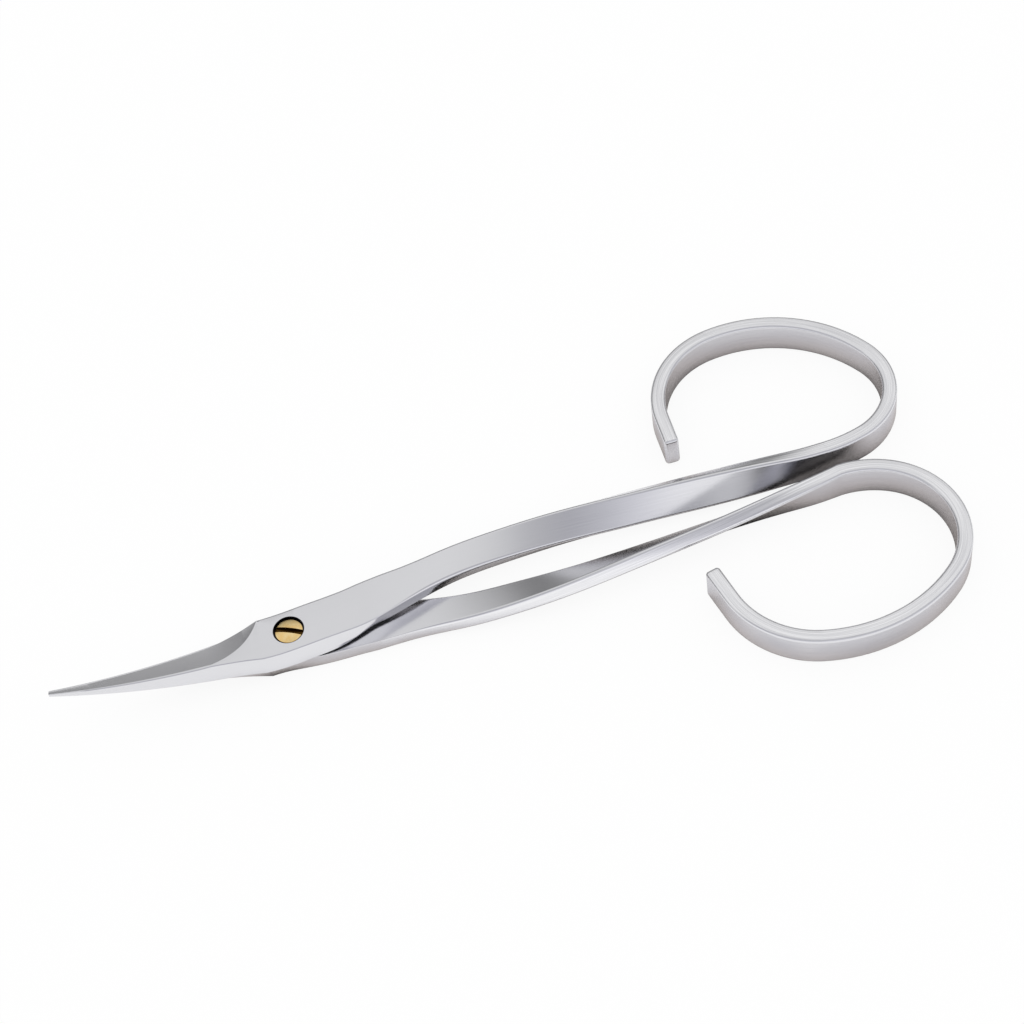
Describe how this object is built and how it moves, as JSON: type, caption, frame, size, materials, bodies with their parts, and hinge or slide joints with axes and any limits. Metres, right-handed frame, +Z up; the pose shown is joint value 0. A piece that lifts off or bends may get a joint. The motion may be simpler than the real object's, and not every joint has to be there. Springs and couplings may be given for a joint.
{
  "type": "cuticle scissors",
  "caption": "Small closed steel scissors with fine upward-curved blades, open bent-strip finger bows and a slotted brass pivot screw, for trimming cuticles.",
  "frame": {"origin": "where the pivot screw's axis meets the plane that the closed scissors lie on", "axes": "+X back from the screw to the finger bows, +Y to the upper arm's bow, +Z up along the screw to its head"},
  "size_m": [0.0891, 0.0411, 0.0057],
  "materials": {
    "steel": "satin brushed",
    "brass": "polished"
  },
  "bodies": {
    "lower_arm": {"lower_arm": "steel"},
    "upper_arm": {"upper_arm": "steel"},
    "pivot_screw": {"pivot_screw": "brass"}
  },
  "joints": [
    {"name": "blade_pivot", "type": "hinge", "parent": "lower_arm", "child": "upper_arm", "pos_m": [0, 0, 0.0018], "axis": [0, 0, 1], "range_deg": [-1.5, 40]},
    {"name": "tension_screw", "type": "hinge", "parent": "lower_arm", "child": "pivot_screw", "pos_m": [0, 0, 0.0018], "axis": [0, 0, 1], "range_deg": [-30, 90]}
  ]
}
